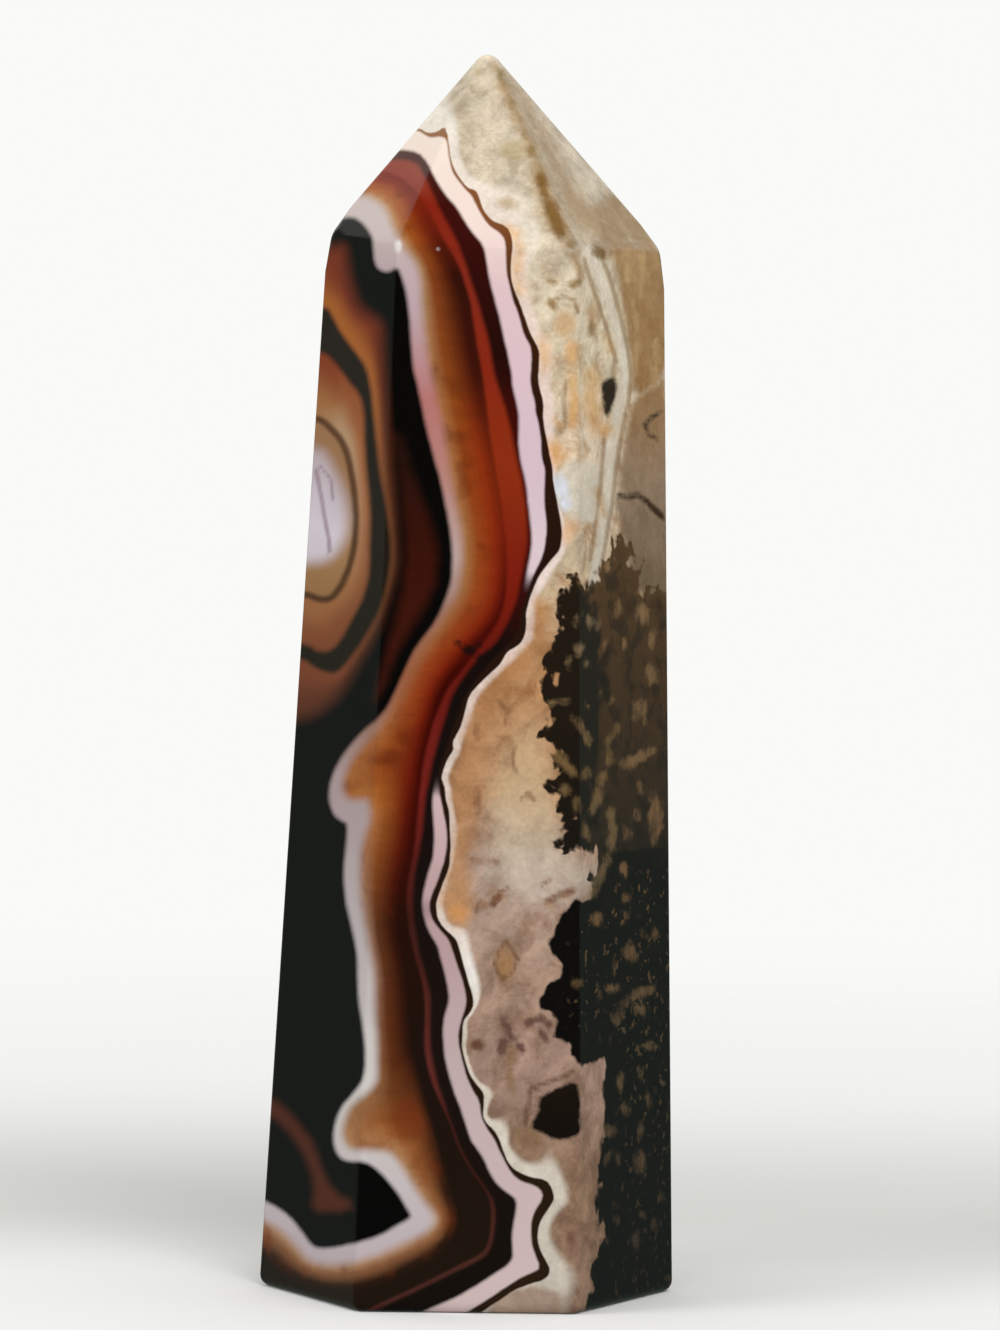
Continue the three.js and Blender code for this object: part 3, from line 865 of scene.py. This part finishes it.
class AGATE_OT_camera(Operator):
    """Adds the camera at the photograph's viewing angle"""

    bl_idname = "agate.camera"
    bl_label = "Camera"

    def execute(self, context):
        eye, right, up, forward = camera_axes()
        data = bpy.data.cameras.new("camera")
        data.sensor_width = SENSOR
        data.lens = FOCAL_PIXELS * SENSOR / PHOTO_SIZE[1]
        data.clip_start = 0.01
        data.clip_end = 50
        camera = bpy.data.objects.new("camera", data)
        place = Matrix(np.column_stack([right, up, -forward]).tolist()).to_4x4()
        place.translation = Vector(eye) * MM
        camera.matrix_world = place
        context.scene.collection.objects.link(camera)
        context.scene.camera = camera
        return {"FINISHED"}


class AGATE_OT_stone(Operator):
    """Adds the stone in place of its CAD solid"""

    bl_idname = "agate.stone"
    bl_label = "Stone"

    def execute(self, context):
        mesh = stone_mesh(context.scene.agate_sizes)
        keep_markings(mesh)
        stone = bpy.data.objects.new("agate_stone", mesh)
        context.scene.collection.objects.link(stone)
        mesh.materials.append(polished_agate())
        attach(stone, "root")
        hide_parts(NODE)
        return {"FINISHED"}


def polished_agate():
    """Banded chalcedony with a pale quartz matrix, cut flat and polished with fine tin oxide.

    Such stone looks wet and smooth: its colour lies just under a clear, even, low gloss, the bands part in
    hairlines that follow their edges, and only the matrix is a little duller.
    """
    material = bpy.data.materials.new("polished_banded_agate")
    material.use_nodes = True
    tree = material.node_tree
    shader = tree.nodes["Principled BSDF"]
    place = add_node(tree, "ShaderNodeTexCoord").outputs["Object"]
    level = add_node(tree, "ShaderNodeSeparateXYZ", Vector=place).outputs["Z"]
    cloud = add_node(tree, "ShaderNodeTexNoise", Vector=place, Scale=CLOUDS, Detail=2.0).outputs["Fac"]
    sway = add_node(tree, "ShaderNodeMath", {"operation": "MULTIPLY_ADD"}, i0=cloud, i1=SWAY, i2=level)
    foot, top = SWAY / 2, SWAY / 2 + TOP * MM
    height = add_node(tree, "ShaderNodeMapRange", Value=sway.outputs[0], From_Min=foot, From_Max=top)
    wobble = add_node(tree, "ShaderNodeTexNoise", Vector=place, Scale=WAVES, Detail=3.0).outputs["Fac"]
    rough = add_node(
        tree, "ShaderNodeTexNoise", Vector=place, Scale=RAGS, Detail=5.0, Roughness=0.65
    ).outputs["Fac"]

    def colour(name):
        """One of the stone's colours, which changes up the stone."""
        ramp = add_node(tree, "ShaderNodeValToRGB", Fac=height.outputs[0])
        stops = ramp.color_ramp.elements
        while len(stops) < len(COLOURS[name]):
            stops.new(0.5)
        for stop, (up, shade) in zip(stops, COLOURS[name]):
            stop.position = up / TOP
            stop.color = linear(shade)
        return ramp.outputs["Color"]

    def depth(name, noise=wobble, swing=0.12):
        """A marking's depth in mm, with its edge moved in and out by a noise."""
        kept = add_node(tree, "ShaderNodeAttribute", {"attribute_name": name}).outputs["Fac"]
        centred = add_node(tree, "ShaderNodeMath", {"operation": "SUBTRACT"}, i0=noise, i1=0.5).outputs[0]
        moved = add_node(tree, "ShaderNodeMath", {"operation": "MULTIPLY_ADD"}, i0=centred, i1=swing, i2=kept)
        return moved.outputs[0]

    def cover(deep, low, high, most=1.0):
        """How much a marking covers: nothing at the low depth and the most at the high one."""
        soft = {"interpolation_type": "SMOOTHSTEP"}
        return add_node(
            tree, "ShaderNodeMapRange", soft, Value=deep, From_Min=low, From_Max=high, To_Max=most
        ).outputs[0]

    def lay(below, above, amount, within=None):
        """One colour laid over another, each a name or a socket, and only within another cover if one is given."""
        below, above = (colour(layer) if isinstance(layer, str) else layer for layer in (below, above))
        if within is not None:
            amount = add_node(tree, "ShaderNodeMath", {"operation": "MULTIPLY"}, i0=amount, i1=within).outputs[0]
        return add_node(tree, "ShaderNodeMix", {"data_type": "RGBA"}, i0=amount, i6=below, i7=above).outputs[2]

    def part_way(left, right):
        """How far a point lies from one band edge towards the next, from 0 to 1."""
        gap = add_node(tree, "ShaderNodeMath", {"operation": "SUBTRACT"}, i0=left, i1=right).outputs[0]
        ratio = add_node(tree, "ShaderNodeMath", {"operation": "DIVIDE", "use_clamp": True}, i0=left, i1=gap)
        return ratio.outputs[0]

    def grained(below, pattern, low, high, darkest, brightest):
        """A colour made darker and brighter by a pattern."""
        shade = add_node(
            tree, "ShaderNodeMapRange", Value=pattern, From_Min=low, From_Max=high, To_Min=darkest, To_Max=brightest
        ).outputs[0]
        multiply = {"data_type": "RGBA", "blend_type": "MULTIPLY"}
        return add_node(tree, "ShaderNodeMix", multiply, i0=1.0, i6=below, i7=shade).outputs[2]

    # Black chalcedony on the left, with the eye and two glowing brown shadows in it
    halo_out = depth("halo_out")
    rings = {name: depth(name) for name in EYE_RINGS}
    skin = colour("black")
    skin = lay(skin, "glow", cover(depth("ember", swing=0.5), -0.5, 0.9, 0.9))
    skin = lay(skin, "glow", cover(depth("glow"), -0.5, 0.6, 0.8))
    brown_way = part_way(rings["eye_brown"], rings["eye_dark"])
    brown = lay("eye_brown_out", "eye_brown_in", cover(brown_way, 0.3, 0.9))
    skin = lay(skin, brown, cover(rings["eye_brown"], -0.3, 1.6))
    skin = lay(skin, "eye_dark", cover(rings["eye_dark"], -0.35, 0.3))
    tan_way = part_way(rings["eye_tan"], rings["eye_line"])
    tan = lay("eye_tan_out", "eye_tan_in", cover(tan_way, 0.2, 0.8))
    skin = lay(skin, tan, cover(rings["eye_tan"], -0.2, 0.5))
    skin = lay(skin, "eye_ring", cover(rings["eye_line"], -0.05, 0.15))
    ring_gap = add_node(tree, "ShaderNodeMath", {"operation": "ABSOLUTE"}, i0=rings["eye_line"]).outputs[0]
    skin = lay(skin, "eye_line", cover(ring_gap, 0.5, 0.05, 0.85))
    skin = lay(skin, "eye_core", cover(rings["eye_core"], -1.2, 0.5))
    vein = add_node(tree, "ShaderNodeMath", {"operation": "MINIMUM"}, i0=depth("eye_vein"), i1=rings["eye_core"])
    skin = lay(skin, "eye_vein", cover(vein.outputs[0], -0.15, 0.15, 0.75))

    # The bands, from the lilac halo across to the dark line where the matrix begins
    halo_in = depth("halo_in")
    amber_right = depth("amber_right")
    across = part_way(halo_in, amber_right)
    warm = lay("tan", "amber", cover(across, 0.0, 0.45))
    warm = lay(warm, "rust", cover(across, 0.3, 0.95))
    warm = lay(warm, "blot", cover(depth("blot", swing=0.6), -0.7, 0.7, 0.7))
    hairs = add_node(
        tree, "ShaderNodeTexNoise", {"noise_dimensions": "1D"}, W=amber_right, Scale=HAIRS, Detail=3.0
    ).outputs["Fac"]
    warm = grained(warm, hairs, 0.3, 0.7, 0.94, 1.05)
    stretch = (FIBRE_LENGTH, FIBRE_LENGTH, 1)
    level_grain = add_node(tree, "ShaderNodeMapping", {"vector_type": "TEXTURE"}, Vector=place, Scale=stretch)
    fibres = add_node(
        tree, "ShaderNodeTexNoise", Vector=level_grain.outputs[0], Scale=FIBRES, Detail=3.0, Roughness=0.6
    ).outputs["Fac"]
    warm = grained(warm, fibres, 0.3, 0.7, 0.92, 1.07)
    mottle = add_node(tree, "ShaderNodeTexNoise", Vector=place, Scale=MOTTLES, Detail=4.0, Distortion=0.5)
    warm = lay(warm, "blot", cover(mottle.outputs["Fac"], 0.5, 0.72, 0.45))
    skin = lay(skin, "halo", cover(halo_out, -0.22, 0.34))
    skin = lay(skin, warm, cover(halo_in, -0.6, 0.45))
    skin = lay(skin, "umber_line", cover(amber_right, -0.6, 0.5))
    red_left = depth("red_left")
    red_right = depth("red_right")
    skin = lay(skin, "red", cover(red_left, -0.12, 0.3))
    skin = lay(skin, "dark", cover(red_right, -0.4, 0.18))
    skin = lay(skin, "dark", cover(depth("crack"), -0.1, 0.26, 0.9))
    # Painted highlights: two pale spots on the shoulder stand in for glints of light
    skin = lay(skin, "painted_glint", cover(depth("painted_glint", swing=0.0), -0.12, 0.2, 0.7))
    pink_left = depth("pink_left")
    pink_right = depth("pink_right")
    wide = add_node(tree, "ShaderNodeMath", {"operation": "SUBTRACT"}, i0=pink_left, i1=pink_right).outputs[0]
    skin = lay(skin, "pink", cover(pink_left, -0.16, 0.22), cover(wide, 0.25, 0.6))
    skin = lay(skin, "contact_line", cover(pink_right, -0.06, 0.2))

    # The pale matrix, with its white rim and its stains
    contact = depth("contact")
    stain = add_node(
        tree, "ShaderNodeTexNoise", Vector=place, Scale=STAINS, Detail=5.0, Roughness=0.62, Distortion=0.6
    ).outputs["Fac"]
    pebble = lay("matrix", "mottle", cover(stain, 0.45, 0.66, 0.8))
    slant = add_node(
        tree,
        "ShaderNodeMapping",
        {"vector_type": "TEXTURE"},
        Vector=place,
        Rotation=(0, STREAK_SLANT, 0),
        Scale=(1, 1, STREAK_LENGTH),
    )
    streak = add_node(
        tree, "ShaderNodeTexNoise", Vector=slant.outputs[0], Scale=STREAKS, Detail=5.0, Roughness=0.62
    ).outputs["Fac"]
    pebble = grained(pebble, streak, 0.32, 0.68, 0.74, 1.18)
    crease = add_node(
        tree, "ShaderNodeTexNoise", Vector=place, Scale=CREASES, Detail=3.0, Roughness=0.6, Distortion=1.2
    ).outputs["Fac"]
    thin = add_node(tree, "ShaderNodeMath", {"operation": "SUBTRACT"}, i0=crease, i1=CREASE_LEVEL).outputs[0]
    thin = add_node(tree, "ShaderNodeMath", {"operation": "ABSOLUTE"}, i0=thin).outputs[0]
    pebble = lay(pebble, "vein", cover(thin, 0.012, 0.002, 0.2))
    rim = depth("rim", rough, 0.35)
    pebble = lay("rim", pebble, cover(part_way(contact, rim), 0.45, 1.0))
    for name, shade, low, high, swing, strength in (
        ("smudge", "smudge", -0.9, 0.8, 1.6, 0.75),
        ("flesh", "flesh", -1.4, 1.3, 2.6, 0.75),
        ("ochre", "ochre", -0.9, 0.9, 1.8, 0.8),
        ("umber", "patch_umber", -0.45, 0.5, 1.0, 0.92),
        ("pale", "pale", -0.3, 0.3, 0.6, 0.85),
        ("tan", "patch_tan", -0.4, 0.35, 0.7, 0.75),
        ("apricot", "apricot", -0.6, 0.7, 1.4, 0.75),
        ("frost", "frost", -0.35, 0.35, 0.7, 0.9),
        ("stain", "stain", -0.35, 0.3, 0.7, 0.9),
        ("mark", "mark", -0.25, 0.25, 1.0, 0.8),
    ):
        pebble = lay(pebble, shade, cover(depth(name, rough, swing), low, high, strength))
    pebble = grained(pebble, stain, 0.35, 0.65, 1.06, 0.87)
    pebble = lay(pebble, "outline", cover(depth("outline", rough, 0.2), -0.14, 0.12, 0.6))
    knobs = add_node(
        tree, "ShaderNodeTexNoise", Vector=place, Scale=KNOBS, Detail=2.5, Distortion=0.3
    ).outputs["Fac"]
    in_moss = cover(depth("moss", knobs, 4.2), -0.2, 0.2)
    pebble = lay(pebble, "moss", in_moss)
    pebble = lay(pebble, "fern", cover(depth("tooth", knobs, 3.0), -0.3, 0.5), in_moss)
    pebble = lay(pebble, "deep", cover(depth("deep", knobs, 1.4), -0.14, 0.16))
    in_dark = cover(depth("moss", knobs, 2.2), 0.3, 1.2)
    pebble = lay(pebble, "fern", cover(knobs, 0.42, 0.64, 0.6), in_dark)
    dim = add_node(tree, "ShaderNodeMapRange", Value=streak, From_Min=0.35, From_Max=0.6, To_Min=0.3, To_Max=0.9)
    flecks = cover(depth("spark", rough, 1.5), -0.12, 0.36)
    pebble = lay(pebble, "spark", flecks, dim.outputs[0])
    pebble = lay(pebble, "lobe", cover(depth("lobe", rough, 1.6), -0.25, 0.4, 0.65))
    dust = add_node(tree, "ShaderNodeTexNoise", Vector=place, Scale=DUST, Detail=2.0).outputs["Fac"]
    pebble = lay(pebble, "spark", cover(dust, 0.6, 0.68, 0.5), cover(depth("deep", knobs, 1.4), 0.6, 2.5))
    pebble = lay(pebble, "pit", cover(depth("pit", rough, 0.8), -0.22, 0.22))
    in_matrix = cover(contact, -0.1, 0.08)
    grain = add_node(tree, "ShaderNodeTexNoise", Vector=place, Scale=GRAINS, Detail=4.0, Roughness=0.6)
    pebble = grained(pebble, grain.outputs["Fac"], 0.3, 0.7, 0.9, 1.08)
    tree.links.new(lay(skin, pebble, in_matrix), shader.inputs["Base Color"])
    dull = add_node(tree, "ShaderNodeMapRange", Value=in_matrix, To_Min=BAND_ROUGHNESS, To_Max=MATRIX_ROUGHNESS)
    tree.links.new(dull.outputs[0], shader.inputs["Roughness"])
    shader.inputs["IOR"].default_value = CHALCEDONY_IOR
    return material


class StudioLook(PropertyGroup):
    sky: FloatProperty(name="Dome", description="Strength of the even light from all round", default=0.66, min=0)
    key: FloatProperty(name="Key", description="Power of the soft light above in front, in watts", default=3.4, min=0)
    floor: FloatVectorProperty(
        name="Floor",
        description="Colour of the pale floor",
        subtype="COLOR",
        default=linear("f7f7f5")[:3],
        min=0,
        max=1,
    )
    floor_shade: FloatVectorProperty(
        name="Floor shade",
        description="Colour of the shaded floor behind the stone",
        subtype="COLOR",
        default=linear("dcddd8")[:3],
        min=0,
        max=1,
    )


def studio_paper(look):
    """Matt white paper: it is even and has no gloss, has a painted shadow that makes it greyer just behind the stone,
    and fades out far away.
    """
    material = bpy.data.materials.new("matt_white_paper")
    material.use_nodes = True
    tree = material.node_tree
    shader = tree.nodes["Principled BSDF"]
    place = add_node(tree, "ShaderNodeTexCoord").outputs["Object"]
    back = add_node(tree, "ShaderNodeSeparateXYZ", Vector=place).outputs["Y"]
    soft = {"interpolation_type": "SMOOTHSTEP"}
    # Painted shadow: the floor is mixed towards the shade colour in a band just behind the stone
    near = add_node(tree, "ShaderNodeMapRange", soft, Value=back, From_Min=PAINTED_SHADE_START, From_Max=PAINTED_SHADE_PEAK)
    far = add_node(
        tree, "ShaderNodeMapRange", soft, Value=back, From_Min=PAINTED_SHADE_PEAK, From_Max=PAINTED_SHADE_END, To_Min=1.0, To_Max=0.0
    )
    shade = add_node(tree, "ShaderNodeMath", {"operation": "MULTIPLY"}, i0=near.outputs[0], i1=far.outputs[0])
    tone = add_node(
        tree,
        "ShaderNodeMix",
        {"data_type": "RGBA"},
        i0=shade.outputs[0],
        i6=[*look.floor, 1.0],
        i7=[*look.floor_shade, 1.0],
    )
    tree.links.new(tone.outputs[2], shader.inputs["Base Color"])
    shader.inputs["Roughness"].default_value = 1.0
    shader.inputs["Specular IOR Level"].default_value = 0.0
    reach = add_node(tree, "ShaderNodeVectorMath", {"operation": "LENGTH"}, i0=place).outputs["Value"]
    fade = add_node(
        tree, "ShaderNodeMapRange", soft, Value=reach, From_Min=FADE_START, From_Max=FADE_END, To_Min=1.0, To_Max=0.0
    )
    tree.links.new(fade.outputs[0], shader.inputs["Alpha"])
    return material


def studio_world(look):
    """White all round for the camera and even light on the stone. Its gloss shows dim walls and one window."""
    world = bpy.data.worlds.new("studio")
    world.use_nodes = True
    tree = world.node_tree
    seen = add_node(tree, "ShaderNodeLightPath").outputs
    way = add_node(tree, "ShaderNodeTexCoord").outputs["Generated"]
    ways = add_node(tree, "ShaderNodeSeparateXYZ", Vector=way).outputs
    wall = add_node(tree, "ShaderNodeValToRGB", Fac=ways["Y"])
    for stop, position, shade in zip(wall.color_ramp.elements, (0.0, 0.5), WALLS):
        stop.position = position
        stop.color = linear(shade)
    side = add_node(tree, "ShaderNodeMapRange", Value=ways["X"], From_Min=-0.8, From_Max=0.8).outputs[0]
    towards = add_node(tree, "ShaderNodeVectorMath", {"operation": "DOT_PRODUCT"}, i0=way, i1=WINDOW_WAY)
    bright = add_node(
        tree,
        "ShaderNodeMapRange",
        {"interpolation_type": "SMOOTHSTEP"},
        Value=towards.outputs["Value"],
        From_Min=WINDOW_EDGE[0],
        From_Max=WINDOW_EDGE[1],
    ).outputs[0]
    mix = {"data_type": "RGBA"}
    left, right = (linear(shade) for shade in WALL_TINTS)
    tint = add_node(tree, "ShaderNodeMix", mix, i0=side, i6=left, i7=right).outputs[2]
    walls = add_node(
        tree, "ShaderNodeMix", {**mix, "blend_type": "MULTIPLY"}, i0=1.0, i6=wall.outputs[0], i7=tint
    ).outputs[2]
    gloss = add_node(tree, "ShaderNodeMix", mix, i0=bright, i6=walls, i7=linear(WINDOW)).outputs[2]
    even = [look.sky, look.sky, look.sky, 1.0]
    unseen = add_node(tree, "ShaderNodeMix", mix, i0=seen["Is Glossy Ray"], i6=even, i7=gloss).outputs[2]
    shown = add_node(tree, "ShaderNodeMix", mix, i0=seen["Is Camera Ray"], i6=unseen, i7=linear(BACKDROP)).outputs[2]
    tree.links.new(shown, tree.nodes["Background"].inputs["Color"])
    return world


class AGATE_OT_studio(Operator):
    """Adds the pale floor, the soft lights and the white surroundings"""

    bl_idname = "agate.studio"
    bl_label = "Studio"

    def execute(self, context):
        scene = context.scene
        look = scene.agate_studio
        scene.view_settings.view_transform = "Standard"
        bm = bmesh.new()
        bmesh.ops.create_circle(bm, cap_ends=True, segments=96, radius=FLOOR_RADIUS)
        mesh = bpy.data.meshes.new("studio_floor")
        bm.to_mesh(mesh)
        bm.free()
        floor = bpy.data.objects.new("studio_floor", mesh)
        floor.visible_glossy = False
        mesh.materials.append(studio_paper(look))
        scene.collection.objects.link(floor)
        scene.world = studio_world(look)
        for name, place, power in SOFT_LIGHTS:
            data = bpy.data.lights.new(name, "AREA")
            data.shape = "DISK"
            data.size = LIGHT_SIZE
            data.energy = power * look.key
            light = bpy.data.objects.new(name, data)
            turn = Vector(place).to_track_quat("Z", "Y").to_matrix().to_4x4()
            light.matrix_world = Matrix.Translation(place) @ turn
            light.visible_glossy = False
            scene.collection.objects.link(light)
        return {"FINISHED"}


class AGATE_PT_sidebar(Panel):
    """The tower's steps and sizes"""

    bl_label = "Agate Tower"
    bl_space_type = "VIEW_3D"
    bl_region_type = "UI"
    bl_category = "Agate Tower"

    def draw(self, context):
        layout = self.layout
        for operator in OPERATORS:
            layout.operator(operator.bl_idname)
        for group in (context.scene.agate_sizes, context.scene.agate_studio):
            for name in group.bl_rna.properties.keys():
                if name not in ("rna_type", "name"):
                    layout.prop(group, name)


OPERATORS = (AGATE_OT_camera, AGATE_OT_stone, AGATE_OT_studio)
CLASSES = (StoneSizes, StudioLook, *OPERATORS, AGATE_PT_sidebar)


def register():
    for cls in CLASSES:
        bpy.utils.register_class(cls)
    bpy.types.Scene.agate_sizes = PointerProperty(type=StoneSizes)
    bpy.types.Scene.agate_studio = PointerProperty(type=StudioLook)


def unregister():
    del bpy.types.Scene.agate_studio
    del bpy.types.Scene.agate_sizes
    for cls in reversed(CLASSES):
        bpy.utils.unregister_class(cls)


def main():
    register()
    bpy.ops.agate.camera()
    bpy.ops.agate.stone()
    bpy.ops.agate.studio()


if __name__ == "__main__":
    main()
